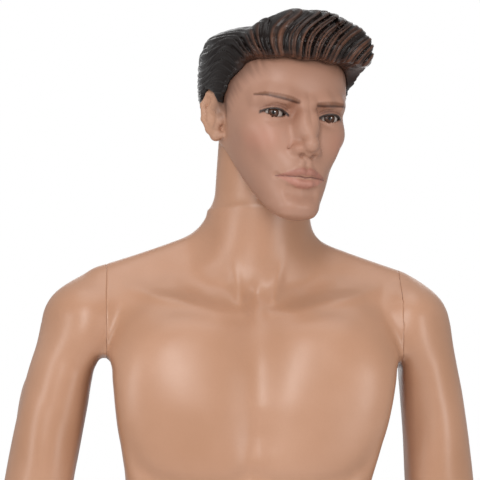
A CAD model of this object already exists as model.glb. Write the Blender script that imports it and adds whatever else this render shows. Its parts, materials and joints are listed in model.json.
import json
import math
import bmesh
import bpy
import numpy as np
from mathutils import Matrix, Vector


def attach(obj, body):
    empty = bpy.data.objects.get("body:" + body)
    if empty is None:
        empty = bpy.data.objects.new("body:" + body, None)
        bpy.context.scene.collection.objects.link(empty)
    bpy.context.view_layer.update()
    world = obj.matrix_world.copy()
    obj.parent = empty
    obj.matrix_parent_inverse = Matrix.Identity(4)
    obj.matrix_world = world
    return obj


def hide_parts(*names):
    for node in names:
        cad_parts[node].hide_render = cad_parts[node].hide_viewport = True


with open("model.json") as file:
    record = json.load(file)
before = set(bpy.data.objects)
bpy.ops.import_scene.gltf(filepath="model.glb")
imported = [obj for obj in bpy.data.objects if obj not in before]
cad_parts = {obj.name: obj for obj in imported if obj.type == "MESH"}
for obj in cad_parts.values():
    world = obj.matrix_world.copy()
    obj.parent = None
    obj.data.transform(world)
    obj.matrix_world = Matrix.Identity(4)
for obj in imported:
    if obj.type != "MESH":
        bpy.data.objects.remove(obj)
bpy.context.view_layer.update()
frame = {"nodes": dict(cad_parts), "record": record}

# ---- implicit form of the figure, in millimetres: +X the figure's left, -Y its front, +Z up, floor at z = 0 ----
def _smin(a, b, k):
    h = np.clip(0.5 + 0.5 * (b - a) / k, 0.0, 1.0)
    return b + (a - b) * h - k * h * (1.0 - h)


def _smax(a, b, k):
    return -_smin(-a, -b, k)


def _len(q):
    return np.sqrt((q * q).sum(-1))


def _ell(p, c, r, rot=None):
    q = p - np.asarray(c, float)
    if rot is not None:
        q = q @ rot
    r = np.asarray(r, float)
    k0 = _len(q / r)
    k1 = _len(q / (r * r)) + 1e-9
    return k0 * (k0 - 1.0) / k1


def _cap(p, a, b, ra, rb):
    a = np.asarray(a, float)
    ab = np.asarray(b, float) - a
    q = p - a
    t = np.clip((q @ ab) / (ab @ ab), 0.0, 1.0)
    return _len(q - t[..., None] * ab) - (ra + (rb - ra) * t)


def _chain(p, pts, rad, k):
    d = None
    for i in range(len(pts) - 1):
        c = _cap(p, pts[i], pts[i + 1], rad[i], rad[i + 1])
        d = c if d is None else _smin(d, c, k)
    return d


def _rot(rx=0.0, ry=0.0, rz=0.0):
    rx, ry, rz = np.radians([rx, ry, rz])
    cx, sx, cy, sy, cz, sz = np.cos(rx), np.sin(rx), np.cos(ry), np.sin(ry), np.cos(rz), np.sin(rz)
    mx = np.array([[1, 0, 0], [0, cx, -sx], [0, sx, cx]])
    my = np.array([[cy, 0, sy], [0, 1, 0], [-sy, 0, cy]])
    mz = np.array([[cz, -sz, 0], [sz, cz, 0], [0, 0, 1]])
    return mz @ mx @ my


def _spl(z, tab):
    """Smooth (Catmull-Rom) interpolation of each column of tab against its first column, which falls or rises."""
    t = np.asarray(tab, float)
    if t[0, 0] > t[-1, 0]:
        t = t[::-1]
    x = t[:, 0]
    i = np.clip(np.searchsorted(x, z, side="right") - 1, 0, len(x) - 2)
    h = x[i + 1] - x[i]
    u = np.clip((z - x[i]) / h, 0.0, 1.0)
    m = np.zeros_like(t[:, 1:])
    d = (t[1:, 1:] - t[:-1, 1:]) / (x[1:] - x[:-1])[:, None]
    m[1:-1] = 0.5 * (d[1:] + d[:-1])
    flat = (d[1:] * d[:-1]) <= 0
    m[1:-1][flat] = 0.0
    m[0], m[-1] = d[0], d[-1]
    u2, u3 = u * u, u * u * u
    a, b = 2 * u3 - 3 * u2 + 1, u3 - 2 * u2 + u
    c, e = -2 * u3 + 3 * u2, u3 - u2
    y = t[:, 1:]
    return [a * y[i, j] + b * h * m[i, j] + c * y[i + 1, j] + e * h * m[i + 1, j] for j in range(y.shape[1])]


# spine: sideways lean of the trunk against height (weight on the right leg)
SPINE = [(840, -16.0), (950, -20.0), (1100, -20.0), (1200, -16.0), (1300, -10.0), (1389, -4.5), (1462, -1.0), (1528, 0.0), (1557, 1.5), (1620, 5.0), (1680, 9.0), (1760, 13.0)]
# trunk sections: z, half width, front depth, back depth, centre y, squareness
TRUNK = [
    (1640, 50, 44, 48, 10, 2.0), (1605, 62, 44, 52, 14, 2.0), (1585, 88, 44, 56, 15, 2.1), (1565, 118, 48, 62, 14, 2.2), (1540, 142, 60, 72, 12, 2.3),
    (1500, 155, 80, 86, 8, 2.35), (1462, 158, 96, 94, 5, 2.4), (1420, 151, 103, 96, 3, 2.4), (1380, 144, 103, 92, 2, 2.4), (1345, 138, 98, 86, 2, 2.4),
    (1300, 131, 92, 79, 3, 2.35), (1250, 126, 88, 74, 4, 2.3), (1200, 124, 86, 73, 4, 2.25), (1150, 128, 86, 78, 4, 2.25), (1100, 139, 87, 90, 4, 2.25),
    (1050, 151, 87, 102, 4, 2.3), (1000, 160, 85, 111, 4, 2.3), (950, 164, 82, 114, 4, 2.35), (905, 160, 74, 106, 4, 2.4), (875, 150, 60, 90, 4, 2.4)]

SEAM_X = 165.0          # shoulder seam planes stand at x = -SEAM_X and +SEAM_X
SHOULDER_Y, SHOULDER_Z, SHOULDER_R = 8.0, 1529.0, 55.0
WAIST_Z = 1172.0        # level waist seam
THIGH_Z = 800.0         # level seam where the detachable leg leaves the hip
# arm centre lines: points from shoulder to wrist and their radii, across (x) and fore-aft (y)
ARM_R = [(-196, 8, 1524), (-208, 8, 1480), (-224, 9, 1410), (-240, 12, 1340), (-253, 16, 1275), (-262, 18, 1225), (-270, 8, 1160), (-278, -10, 1080), (-284, -30, 1000), (-286, -42, 955)]
ARM_L = [(188, 8, 1524), (195, 9, 1480), (204, 12, 1410), (211, 18, 1340), (218, 25, 1275), (223, 29, 1225), (229, 24, 1160), (236, 12, 1080), (243, -4, 1000), (246, -14, 955)]
ARM_A = [48, 40, 38, 40, 37, 36.5, 40, 35, 27.5, 26]
ARM_B = [52, 52, 50, 49, 43, 41, 44, 38, 30, 28]


def _stack(p, z, cx, cy, a, bf, bb, n):
    x = np.abs(p[..., 0] - cx) / a
    dy = p[..., 1] - cy
    y = np.abs(dy) / np.where(dy < 0, bf, bb)
    rho = (x ** n + y ** n + 1e-12) ** (1.0 / n)
    return (rho - 1.0) * np.minimum(a, np.where(dy < 0, bf, bb))


def spine_x(z):
    return _spl(z, SPINE)[0]


def f_trunk_core(p):
    z = p[..., 2]
    w, df, db, cy, n = _spl(z, TRUNK)
    d = _stack(p, z, spine_x(z), cy, w, df, db, n)
    d = np.maximum(d, z - 1640.0)
    return np.maximum(d, 862.0 - z)


NECK_A = np.array((1.5, 24.0, 1560.0))      # neck axis, from the root of the neck
NECK_B = np.array((13.0, -4.0, 1742.0))     # to its top
NECK_AX = (NECK_B - NECK_A) / np.linalg.norm(NECK_B - NECK_A)
NECK_R = 51.0
NECK_TOP = 176.0       # length of the neck column along its axis, from NECK_A


def f_neck(p):
    q = p - NECK_A
    t = q @ NECK_AX
    r = _len(q - t[..., None] * NECK_AX)
    rad = NECK_R + 9.0 * np.clip((78.0 - t) / 78.0, 0, 1.4) ** 2
    return _smax(_smax(r - rad, t - NECK_TOP, 4.0), -10.0 - t, 20.0)


def f_arm(p, side):
    pts = ARM_R if side < 0 else ARM_L
    z = p[..., 2]
    tab = [(q[2], q[0], q[1], a, b) for q, a, b in zip(pts, ARM_A, ARM_B)]
    cx, cy, a, b = _spl(z, tab)
    # the inner and outer sides of the arm follow its slope, so the section is measured square to the arm
    d = _stack(p, z, cx, cy, a, b, b, 2.1) * 0.98
    top = pts[0]
    ball = _ell(p, (top[0] + side * 0.0, top[1], 1529), (46.0, 54.0, 52.0))
    d = np.maximum(d, z - 1500.0)
    d = _smin(d, ball, 34.0)
    return np.maximum(d, 930.0 - z)


def f_body(p):
    """Trunk, neck and both arms as one continuous skin, before it is cut at the seams."""
    z = p[..., 2]
    x = p[..., 0]
    y = p[..., 1]
    d = f_trunk_core(p)
    d = _smin(d, f_neck(p), 26.0)
    sx = x - spine_x(z)
    ax = np.abs(sx)
    m = np.stack([ax, y, z], -1)
    # shoulders and the slope of the trapezius
    d = _smin(d, _cap(m, (95, 16, 1534), (200, 8, 1530), 50, 49), 22.0)
    d = _smin(d, _cap(m, (40, 26, 1606), (150, 14, 1560), 22, 20), 34.0)
    # chest: pectoral plates
    pec = _ell(m, (74, -58, 1425), (78, 42, 66), _rot(8, 0, -14))
    d = _smin(d, pec, 22.0)
    # back: shoulder blades and wide back muscles
    d = _smin(d, _ell(m, (82, 66, 1450), (58, 30, 88), _rot(-4, 0, 10)), 26.0)
    d = _smin(d, _ell(m, (112, 22, 1400), (38, 58, 110)), 30.0)
    return d


def f_body_all(p):
    d = f_body(p)
    for s in (-1, 1):
        d = _smin(d, f_arm(p, s), 11.0)
    return d


# head, in its own frame: origin midway between the ear canals, face along -Y
HEAD_T = np.array((20.0, -22.0, 1746.0))
HEAD_YAW, HEAD_PITCH, HEAD_ROLL = 20.0, 3.0, 4.0
HEAD_ROT = _rot(0, 0, HEAD_YAW) @ _rot(HEAD_PITCH, 0, 0) @ _rot(0, HEAD_ROLL, 0)


def head_to_local(p):
    return (p - HEAD_T) @ HEAD_ROT


def head_to_world(q):
    return q @ HEAD_ROT.T + HEAD_T


def f_skull(q):
    """Head without hair, ears or the recess for the neck, in the head's own frame."""
    m = np.stack([np.abs(q[..., 0]), q[..., 1], q[..., 2]], -1)
    d = _ell(m, (0, 6, 38), (72, 94, 72))
    d = _smin(d, _ell(m, (0, -32, 38), (64, 58, 52)), 14.0)
    d = _smin(d, _ell(m, (0, -34, -22), (57, 54, 52)), 16.0)
    d = _smin(d, _ell(m, (0, -40, -66), (42, 52, 36)), 14.0)
    # jaw: ramus and body
    d = _smin(d, _chain(m, [(58, 6, -2), (49, -6, -46), (34, -44, -76), (12, -82, -90)], [14, 14, 15, 14.5], 6.0), 13.0)
    d = _smin(d, _ell(m, (8, -86, -90), (17, 12.5, 15)), 9.0)
    # cheekbones and brow
    d = _smin(d, _ell(m, (47, -57, -12), (19, 24, 14), _rot(0, 0, -28)), 15.0)
    d = _smin(d, _chain(m, [(10, -83, 26), (30, -79, 29), (50, -66, 24)], [9, 8.5, 7], 5.0), 10.0)
    return d


HEAD_PLANE = -32.0     # lower edge of the head shell at the nape and below the ears


def f_head_solid(q):
    return f_skull(q)


def f_hair_outer(q):
    """Outer form of the moulded hair, before the hairline is cut and the locks are carved."""
    m = np.stack([np.abs(q[..., 0]), q[..., 1], q[..., 2]], -1)
    d = _ell(m, (0, 8, 40), (77, 99, 77))
    d = _smin(d, _ell(q, (-2, -22, 82), (63, 72, 40)), 16.0)
    d = _smin(d, _chain(q, [(-34, -66, 92), (4, -74, 100), (38, -64, 92)], [21, 28, 27], 12.0), 14.0)
    return d


# hands hang below the wrist seams; frame: origin at the wrist, fingers along -Z, palm toward +X, thumb toward -Y
def f_hand(q):
    palm = _ell(q, (0, 0, -55), (15, 39, 56))
    palm = _smin(palm, _cap(q, (0, 0, 8), (0, 0, -22), 24, 23), 16.0)
    palm = _smin(palm, _chain(q, [(-1, -30, -84), (-2, -10, -90), (-1, 11, -87), (0, 29, -78)], [10.5, 11, 10.5, 9.5], 6.0), 12.0)
    d = palm
    fingers = [
        ((-1, -31, -88), (3, -34, -130), (11, -34, -152), (21, -33, -170), (9.6, 8.6, 7.8, 6.6)),
        ((-2, -10.5, -94), (3, -11, -140), (13, -11, -165), (25, -11, -183), (9.8, 8.8, 8.0, 6.8)),
        ((-1, 10.5, -91), (5, 11.5, -134), (16, 11.5, -158), (28, 11, -174), (9.4, 8.4, 7.6, 6.5)),
        ((0, 29, -82), (7, 32.5, -114), (17, 33, -132), (27, 32.5, -145), (8.4, 7.4, 6.7, 5.8)),
    ]
    for a, b, c, e, r in fingers:
        d = _smin(d, _chain(q, [a, b, c, e], r, 2.0), 5.0)
    d = _smin(d, _chain(q, [(4, -24, -30), (12, -42, -62), (17, -52, -92), (20, -54, -114)], [14, 12, 9.6, 7.8], 4.0), 7.0)
    return d


# legs: z, centre x (to the figure's left), centre y, half width, half depth
LEG_L = [(905, 70, 2, 80, 92), (870, 74, 2, 84, 92), (820, 79, 1, 80, 86), (760, 83, -1, 75, 82), (700, 86, -3, 69, 76), (640, 88, -4, 62, 69), (580, 90, -4, 55, 61), (535, 91, -4, 50, 56),
         (500, 92, -6, 50, 56), (470, 92, -3, 48, 54), (430, 93, 4, 51, 56), (380, 95, 10, 53, 58), (330, 97, 12, 50, 55), (270, 99, 12, 42, 47), (210, 101, 12, 34, 40), (150, 103, 12, 29, 35), (110, 104, 14, 30, 38), (75, 104, 16, 31, 42)]
LEG_R = [(z, -(x + (20 if z > 860 else 20 * max(0.0, (z - 300) / 560.0) ** 1.2)), y, a, b) for z, x, y, a, b in LEG_L]
FOOT_OUT_R, FOOT_OUT_L = 9.0, 17.0
SOLE_Z = 11.0


def f_leg(p, side):
    z = p[..., 2]
    cx, cy, a, b = _spl(z, LEG_R if side < 0 else LEG_L)
    d = _stack(p, z, cx, cy, a, b, b, 2.15)
    d = _smax(d, z - 915.0, 12.0)
    return np.maximum(d, 62.0 - z)


def f_foot(q):
    """Foot in its own frame: origin on the sole under the ankle, toes along -Y, inner side toward +X (a right foot)."""
    d = _cap(q, (0, 4, 100), (0, 6, 60), 30, 33)
    d = _smin(d, _ell(q, (0, 26, 30), (30, 36, 36)), 20.0)
    d = _smin(d, _cap(q, (0, -4, 66), (6, -84, 34), 30, 22), 22.0)
    d = _smin(d, _ell(q, (2, -60, 22), (36, 72, 26)), 18.0)
    d = _smin(d, _cap(q, (26, -118, 20), (-30, -98, 15), 17, 13), 18.0)
    toes = [((28, -128, 15), (30, -166, 11), 14.0, 11.5), ((9, -132, 14), (11, -167, 9), 10.5, 8.5), ((-6, -128, 13), (-6, -160, 8.5), 10.0, 8.0), ((-20, -120, 12), (-22, -149, 8), 9.5, 7.8), ((-33, -108, 11), (-37, -134, 7.5), 9.0, 7.2)]
    for a, b, ra, rb in toes:
        d = _smin(d, _cap(q, a, b, ra, rb), 4.0)
    return _smax(d, 0.0 - q[..., 2], 3.0)


def foot_to_local(p, side):
    out = FOOT_OUT_R if side < 0 else FOOT_OUT_L
    c = np.array((LEG_R[-1][1] if side < 0 else LEG_L[-1][1], 14.0, SOLE_Z))
    q = (p - c) @ _rot(0, 0, side * out)
    if side > 0:
        q = q * np.array((-1.0, 1.0, 1.0))
    return q


def f_lower(p):
    """Hips, legs and feet as one skin."""
    z = p[..., 2]
    d = f_trunk_core(p)
    for s in (-1, 1):
        leg = _smin(f_leg(p, s), f_foot(foot_to_local(p, s)), 14.0)
        d = _smin(d, leg, 16.0)
    m = np.stack([np.abs(p[..., 0] - spine_x(z)), p[..., 1], z], -1)
    d = _smin(d, _ell(m, (76, 62, 935), (68, 52, 72)), 24.0)
    return d


WRIST_R = np.array((-286.0, -42.0, 955.0))
WRIST_L = np.array((246.0, -14.0, 955.0))
WRIST_AX_R = np.array((0.07, 0.36, 1.0)) / np.linalg.norm((0.07, 0.36, 1.0))    # from hand to elbow
WRIST_AX_L = np.array((-0.08, 0.30, 1.0)) / np.linalg.norm((-0.08, 0.30, 1.0))


def hand_frame(side):
    """Rotation whose columns are the hand's own axes in the figure's frame, for the right hand; a left hand mirrors x first."""
    ax = WRIST_AX_R if side < 0 else WRIST_AX_L
    y = np.array((0.0, 1.0, 0.0))
    x = np.cross(y, ax)
    x /= np.linalg.norm(x)
    y = np.cross(ax, x)
    return np.stack([x, y, ax], 1)


def hand_to_local(p, side):
    q = (p - (WRIST_R if side < 0 else WRIST_L)) @ hand_frame(side)
    if side > 0:
        q = q * np.array((-1.0, 1.0, 1.0))
    return q


def mesh_sdf(f, lo, hi, h, block=8):
    """Surface net of f < 0 in the box lo..hi at spacing h: (vertices, quads)."""
    lo = np.asarray(lo, float)
    n = np.ceil((np.asarray(hi, float) - lo) / h / block).astype(int)
    nb = n * block + 1
    V = np.full(nb, 1e3, np.float32)
    bi = np.stack(np.meshgrid(*[np.arange(k) for k in n], indexing="ij"), -1).reshape(-1, 3)
    c = lo + (bi * block + block / 2.0) * h
    fc = f(c)
    reach = block * h * 0.5 * 1.7321 * 1.9 + 3.0
    act = np.abs(fc) < reach
    o = np.stack(np.meshgrid(*[np.arange(block + 1)] * 3, indexing="ij"), -1).reshape(-1, 3)
    for b in bi[(~act) & (fc < 0)]:
        s = b * block
        V[s[0]:s[0] + block + 1, s[1]:s[1] + block + 1, s[2]:s[2] + block + 1] = -1e3
    A = bi[act]
    for i in range(0, len(A), 400):
        idx = (A[i:i + 400, None, :] * block + o[None]).reshape(-1, 3)
        V[idx[:, 0], idx[:, 1], idx[:, 2]] = f(lo + idx * h)
    neg = V < 0
    cells = neg[:-1, :-1, :-1].astype(np.int8)
    for dx, dy, dz in ((1, 0, 0), (0, 1, 0), (0, 0, 1), (1, 1, 0), (1, 0, 1), (0, 1, 1), (1, 1, 1)):
        cells = cells + neg[dx:nb[0] - 1 + dx, dy:nb[1] - 1 + dy, dz:nb[2] - 1 + dz]
    ci = np.argwhere((cells > 0) & (cells < 8))
    corner = [(0, 0, 0), (1, 0, 0), (0, 1, 0), (1, 1, 0), (0, 0, 1), (1, 0, 1), (0, 1, 1), (1, 1, 1)]
    edges = [(0, 1), (2, 3), (4, 5), (6, 7), (0, 2), (1, 3), (4, 6), (5, 7), (0, 4), (1, 5), (2, 6), (3, 7)]
    vals = np.stack([V[ci[:, 0] + a, ci[:, 1] + b, ci[:, 2] + g] for a, b, g in corner], 1).astype(float)
    acc = np.zeros((len(ci), 3))
    cnt = np.zeros(len(ci))
    for a, b in edges:
        va, vb = vals[:, a], vals[:, b]
        hit = (va < 0) != (vb < 0)
        t = np.where(hit, va / np.where(hit, va - vb, 1.0), 0.0)
        pa, pb = np.array(corner[a], float), np.array(corner[b], float)
        acc += hit[:, None] * (pa + t[:, None] * (pb - pa))
        cnt += hit
    verts = lo + (ci + acc / cnt[:, None]) * h
    ids = np.full(np.array(nb) - 1, -1, np.int32)
    ids[ci[:, 0], ci[:, 1], ci[:, 2]] = np.arange(len(ci))
    quads = []
    for ax in range(3):
        u, w = [(1, 2), (2, 0), (0, 1)][ax]
        sl = [slice(None)] * 3
        sl2 = [slice(None)] * 3
        sl[ax] = slice(0, -1)
        sl2[ax] = slice(1, None)
        e = np.argwhere(neg[tuple(sl)] != neg[tuple(sl2)])
        ok = (e[:, u] > 0) & (e[:, w] > 0) & (e[:, u] < nb[u] - 1) & (e[:, w] < nb[w] - 1)
        e = e[ok]
        eu, ew = np.zeros(3, int), np.zeros(3, int)
        eu[u], ew[w] = 1, 1
        q = np.stack([ids[tuple((e - eu - ew).T)], ids[tuple((e - ew).T)], ids[tuple(e.T)], ids[tuple((e - eu).T)]], 1)
        flip = ~neg[tuple(e.T)]
        q[flip] = q[flip][:, ::-1]
        quads.append(q)
    return verts, np.concatenate(quads)


def project(f, v, steps=3, eps=0.15, cap=1.5):
    for _ in range(steps):
        d = f(v)
        g = np.stack([(f(v + e) - f(v - e)) / (2 * eps) for e in np.eye(3) * eps], -1)
        s = d[:, None] * g / np.maximum((g * g).sum(-1), 0.04)[:, None]
        l = np.sqrt((s * s).sum(-1))[:, None]
        v = v - s * np.minimum(1.0, cap / np.maximum(l, 1e-9))
    return v


# ---- finished forms of the skin, finer than the plain CAD shells ----
def _mir(q):
    return np.stack([np.abs(q[..., 0]), q[..., 1], q[..., 2]], -1)


def _sub(d, c, k):
    """Take c away from d with a soft edge of k."""
    return _smax(d, -c, k)


def _sstep(a, b, x):
    t = np.clip((x - a) / (b - a), 0.0, 1.0)
    return t * t * (3.0 - 2.0 * t)


def _line(u, v, pts, w, dep):
    """Soft ridge or groove along a line in a plane: its depth at each point, fading over the width w."""
    g = np.zeros(u.shape)
    for i in range(len(pts) - 1):
        ax, az = pts[i]
        ex, ez = pts[i + 1][0] - ax, pts[i + 1][1] - az
        t = np.clip(((u - ax) * ex + (v - az) * ez) / (ex * ex + ez * ez), 0, 1)
        r2 = (u - ax - t * ex) ** 2 + (v - az - t * ez) ** 2
        g = np.maximum(g, (dep[i] + (dep[i + 1] - dep[i]) * t) * np.exp(-r2 / (w * w)))
    return g


# half width of the flanks, and how near the arms come to the middle plane, against height
FLANK = [(1150, 150.0), (1300, 136.0), (1349, 138.5), (1376, 143.5), (1403, 149.5), (1430, 154.0), (1457, 158.0), (1474, 161.5), (1484, 170.0), (1494, 196.0), (1506, 250.0), (1530, 400.0), (1760, 400.0)]
ARM_IN = {-1: [(900, 200.0), (1300, 200.0), (1349, 197.5), (1376, 192.5), (1403, 188.0), (1430, 184.5), (1457, 181.0), (1472, 177.5), (1484, 168.0), (1496, 140.0), (1512, 97.0), (1600, 97.0)],
          1: [(900, 172.0), (1300, 172.0), (1349, 170.5), (1403, 168.0), (1457, 166.5), (1478, 165.0), (1490, 156.0), (1500, 134.0), (1512, 97.0), (1600, 97.0)]}


def waist_forms(d, sx, y, z):
    """Belly and small of the back, the same above and below the waist seam."""
    fr = _sstep(10.0, -35.0, y)
    ac = np.sqrt(sx * sx + 16.0) - 4.0
    g = _line(ac, z, [(0, 1335), (0, 1280), (0, 1180), (0, 1120)], 8.0, [1.2, 2.6, 2.6, 0.6])
    for zz, dp in ((1304, 1.3), (1258, 1.5), (1212, 1.2)):
        g = g + _line(ac, z, [(0, zz), (30, zz + 2), (56, zz + 8)], 7.5, [dp, dp, 0.3])
    g = g + _line(ac, z, [(60, 1330), (64, 1260), (64, 1170), (58, 1090)], 12.0, [0.8, 2.6, 2.6, 0.4])
    g = g + _line(ac, z, [(16, 1338), (54, 1314), (92, 1276), (112, 1236)], 11.0, [0.6, 2.6, 2.0, 0.2])
    d = d + g * fr
    bk = _sstep(0.0, 40.0, y)
    g = -4.5 * np.exp(-((np.abs(sx) - 34.0) / 20.0) ** 2) * _sstep(1080.0, 1150.0, z) * _sstep(1390.0, 1310.0, z)
    g = g + 6.0 * np.exp(-(sx / 13.0) ** 2) * _sstep(1040.0, 1110.0, z) * _sstep(1400.0, 1330.0, z)
    return d + g * bk


def f_torso_full(p):
    """Trunk, neck and both arms as one skin, with the modelled muscles."""
    z = p[..., 2]
    x = p[..., 0]
    y = p[..., 1]
    d = f_trunk_core(p)
    d = _smin(d, f_neck(p), 30.0)
    sx = x - spine_x(z)
    ax = np.abs(sx)
    m = np.stack([ax, y, z], -1)
    for s in (-1, 1):
        q = np.stack([x * s, y, z], -1)
        a, b, r = ((183, 8, 1524), (167, 14, 1564.5), 46.5) if s < 0 else ((171, 8, 1521), (161, 14, 1559.5), 43)
        d = _smin(d, _cap(q, (92, 16, 1536), a, 50, r), 20.0)
        d = _smin(d, _cap(q, (42, 26, 1609 if s < 0 else 1603), b, 20, 19), 26.0)
    # chest plates, their lower crease and the breastbone groove
    mc = np.stack([np.sqrt(sx * sx + 420.0), y, z], -1)
    d = _smin(d, _ell(mc, (68, -49, 1422), (82, 42, 104), _rot(10, 0, -9)), 46.0)
    d = _smin(d, _ell(mc, (108, -34, 1466), (44, 30, 62), _rot(0, 0, -30)), 44.0)
    # all drawn on the front as seen straight on: breastbone valley, lower edge of the chest, collar bones, notch
    fr = _sstep(20.0, -25.0, y)
    ac = np.sqrt(sx * sx + 16.0) - 4.0
    g = 5.5 * np.exp(-(sx / 27.0) ** 2) * _sstep(1345.0, 1400.0, z) * _sstep(1560.0, 1500.0, z)
    g = g + _line(ac, z, [(0, 1430), (0, 1395), (3, 1352)], 11.0, [0.0, 2.2, 2.6])
    g = g + _line(ac, z, [(3, 1352), (18, 1345), (56, 1341), (100, 1348), (121, 1364), (135, 1388), (141, 1412)], 10.0, [3.2, 3.8, 4.2, 4.0, 3.2, 2.0, 0.0])
    g = g - _line(ac, z, [(12, 1533), (40, 1536), (80, 1545), (112, 1552), (141, 1560)], 8.5, [2.5, 3.0, 3.0, 2.8, 0.6])
    g = g + _line(ac, z, [(34, 1562), (80, 1571), (118, 1577)], 12.0, [2.4, 2.8, 0.4])
    g = g + 4.5 * np.exp(-(sx / 9.0) ** 2 - ((z - 1553.0) / 12.0) ** 2)
    g = g - _line(ac, z, [(15, 1547), (19, 1566), (25, 1592), (30, 1620)], 6.0, [2.6, 1.8, 0.3, 0.0])
    d = d + g * fr
    # back: blades, wide muscles, spine channel
    d = _smin(d, _ell(m, (80, 62, 1450), (54, 30, 84), _rot(-4, 0, 12)), 22.0)
    d = _smin(d, _ell(m, (101, 24, 1410), (37, 56, 100)), 30.0)
    d = waist_forms(d, sx, y, z)
    bk = _sstep(0.0, 40.0, y)
    d = d + bk * 5.0 * np.exp(-(sx / 13.0) ** 2) * _sstep(1330.0, 1400.0, z) * _sstep(1560.0, 1500.0, z)
    d = _sub(d, _chain(m, [(42, 103, 1400), (62, 104, 1440), (70, 98, 1500)], [2, 4, 2], 6.0), 14.0)
    # flanks, up to the arch of the armpit
    return _smax(d, ax - _spl(z, FLANK)[0], 12.0)


def f_arm_full(p, side):
    pts = ARM_R if side < 0 else ARM_L
    z = p[..., 2]
    tab = [(q[2], q[0], q[1], a, b) for q, a, b in zip(pts, ARM_A, ARM_B)]
    tab[0] = (1524, -190.0, 8, 41, 48) if side < 0 else (1524, 178.0, 8, 37, 48)
    tab[1] = (1480, -208.0, 8, 41, 51) if side < 0 else (1480, 190.5, 9, 38, 51)
    if side < 0:
        tab[2] = (1410, -226.0, 9, 40.5, 50)
    cx, cy, a, b = _spl(np.minimum(z, 1524.0), tab)
    d = _stack(p, z, cx, cy, a, b, b, 2.1) * 0.98
    d = _smax(d, z - 1548.0, 30.0)
    top = pts[0]
    top = (-186.0, 8.0) if side < 0 else (174.0, 8.0)
    d = _smin(d, _ell(p, (top[0], top[1], 1516), (45.0 if side < 0 else 40.0, 53.0, 52.0)), 20.0)
    # outer shoulder muscle, its lower point, biceps and triceps
    cx0 = float(top[0])
    d = _smin(d, _chain(p, [(cx0 + side * 14, top[1], 1510), (cx0 + side * 27, top[1] + 1, 1440), (cx0 + side * 42, top[1] + 2, 1390)], [31, 22, 14], 10.0), 18.0)
    bx, by = (-232.0, -12.0) if side < 0 else (203.0, -9.0)
    d = _smin(d, _ell(p, (bx, by, 1372), (23, 21, 64), _rot(4, side * 6, 0)), 16.0)
    tx, ty = (-236.0, 36.0) if side < 0 else (212.0, 40.0)
    d = _smin(d, _ell(p, (tx, ty, 1392), (26, 21, 74), _rot(-3, side * 6, 0)), 16.0)
    ex, ey = (-270.0, -4.0) if side < 0 else (229.0, 12.0)
    d = _smin(d, _ell(p, (ex, ey, 1168), (32, 32, 66), _rot(12, side * 4, 0)), 20.0)
    ox, oy = (-262.0, 52.0) if side < 0 else (224.0, 62.0)
    d = _smin(d, _ell(p, (ox, oy, 1232), (13, 9, 17)), 14.0)
    # the inner side stays clear of the trunk below the armpit
    return _smax(d, _spl(z, ARM_IN[side])[0] - np.abs(p[..., 0]), 12.0)


def f_upper_all(p):
    d = f_torso_full(p)
    for s in (-1, 1):
        d = _smin(d, f_arm_full(p, s), 11.0)
    return d


def f_leg_full(p, side):
    tab = LEG_R if side < 0 else LEG_L
    tab = [(z, x, y, a, b) for z, x, y, a, b in ((990, side * 62.0 - (8.0 if side < 0 else 0.0), 10.0, 56.0, 56.0), (945, side * 68.0 - (14.0 if side < 0 else 0.0), 5.0, 70.0, 76.0), (905, tab[0][1], 2.0, 79.0, 86.0))] + list(tab[1:])
    z = p[..., 2]
    cx, cy, a, b = _spl(z, tab)
    d = _stack(p, z, cx, cy, a, b, b, 2.15)
    d = _smax(d, z - 985.0, 40.0)
    d = np.maximum(d, 62.0 - z)

    def at(zz):
        v = _spl(np.array([float(zz)]), tab)
        return float(v[0][0]), float(v[1][0])
    x5, y5 = at(505)
    d = _smin(d, _ell(p, (x5, y5 - 42, 508), (24, 16, 30)), 12.0)                      # knee cap
    x6, y6 = at(640)
    d = _smin(d, _ell(p, (x6 + side * 20, y6 - 34, 660), (34, 32, 112)), 20.0)         # outer thigh
    d = _smin(d, _ell(p, (x6 - side * 24, y6 - 34, 590), (24, 26, 54)), 18.0)          # inner thigh, above the knee
    d = _smin(d, _ell(p, (x6, y6 + 30, 660), (44, 36, 120)), 20.0)                     # hamstrings
    x3, y3 = at(370)
    d = _smin(d, _ell(p, (x3 - side * 15, y3 + 30, 372), (27, 28, 78)), 14.0)          # calf, inner head
    d = _smin(d, _ell(p, (x3 + side * 15, y3 + 28, 388), (26, 26, 70)), 14.0)          # calf, outer head
    x2, y2 = at(250)
    d = _smin(d, _cap(p, (x3 - side * 2, y3 - 42, 440), (x2 - side * 4, y2 - 26, 150), 11, 3), 20.0)   # shin
    d = _smin(d, _cap(p, (x2, 50, 250), (x2, 56, 96), 9, 9), 14.0)                      # heel cord
    x1, y1 = at(90)
    d = _smin(d, _ell(p, (x1 - side * 29, y1, 100), (10, 13, 13)), 10.0)
    d = _smin(d, _ell(p, (x1 + side * 29, y1 + 6, 92), (10, 12, 13)), 10.0)
    return d


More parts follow.
